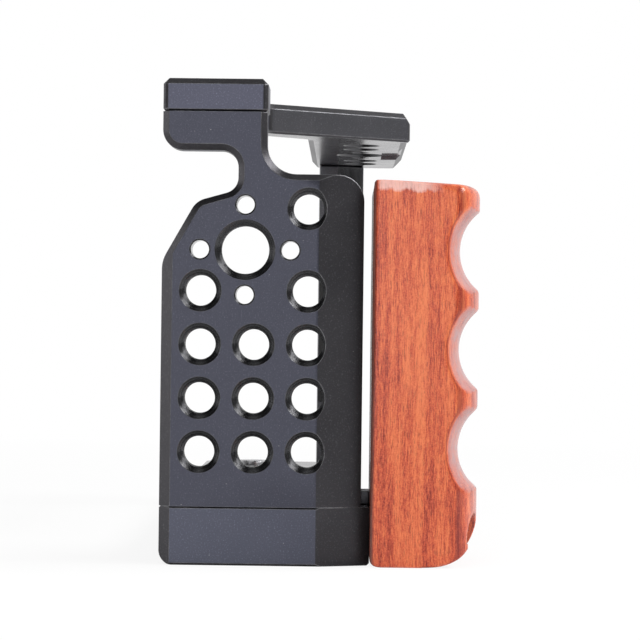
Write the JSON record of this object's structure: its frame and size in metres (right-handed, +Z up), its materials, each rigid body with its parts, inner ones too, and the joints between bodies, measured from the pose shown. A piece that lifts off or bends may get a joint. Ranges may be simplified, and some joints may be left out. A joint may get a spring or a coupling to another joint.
{
  "type": "camera cage",
  "caption": "Camera cage for a flat-bodied camera: pierced right side plate, Z-shaped top plate, left post, base with a captive camera screw, and a wooden finger grip.",
  "frame": {"origin": "middle of the bounding box, on the underside of the base", "axes": "+X to the camera operator's right, out of the pierced side plate; +Y forward, the way the lens points; +Z up"},
  "size_m": [0.144, 0.054, 0.082],
  "materials": {
    "side_plate": "bead-blasted dark blue-grey anodised",
    "top_plate": "bead-blasted dark blue-grey anodised",
    "left_post": "bead-blasted dark anodised",
    "base_plate": "bead-blasted dark blue-grey anodised",
    "grip": "lacquered red-brown hardwood",
    "bolts": "black oxide",
    "bright_steel": "bright",
    "screws": "black oxide",
    "washer": "black nylon",
    "stop_block": "dark anodised",
    "pads": "matte black"
  },
  "bodies": {
    "cage": {"side_plate": "side_plate", "top_plate": "top_plate", "left_post": "left_post", "base_plate": "base_plate", "wood_grip": "grip", "grip_bolts": "bolts", "grip_washers": "bright_steel", "top_screws_right": "screws", "top_screw_left": "screws", "base_screws_right": "screws", "base_screw_left": "screws", "side_dowel": "bright_steel", "post_dowels": "bright_steel", "stop_block": "stop_block", "stop_screw": "screws", "base_pads": "pads", "roof_pad": "pads", "post_pad": "pads"},
    "screw_carrier": {"screw_washer": "washer"},
    "screw": {"camera_screw": "bright_steel"},
    "ring": {"d_ring": "bright_steel"}
  },
  "joints": [
    {"name": "camera_screw_lift", "type": "slide", "parent": "cage", "child": "screw_carrier", "axis": [0, 0, 1], "range_m": [0, 0.0015]},
    {"name": "camera_screw_turn", "type": "hinge", "parent": "screw_carrier", "child": "screw", "pos_m": [0.002, -0.0139, 0.0029], "axis": [0, 0, 1], "continuous": true},
    {"name": "ring_fold", "type": "hinge", "parent": "screw", "child": "ring", "pos_m": [0.002, -0.0139, 0.0029], "axis": [-1, 0, 0], "range_deg": [0, 95]}
  ]
}
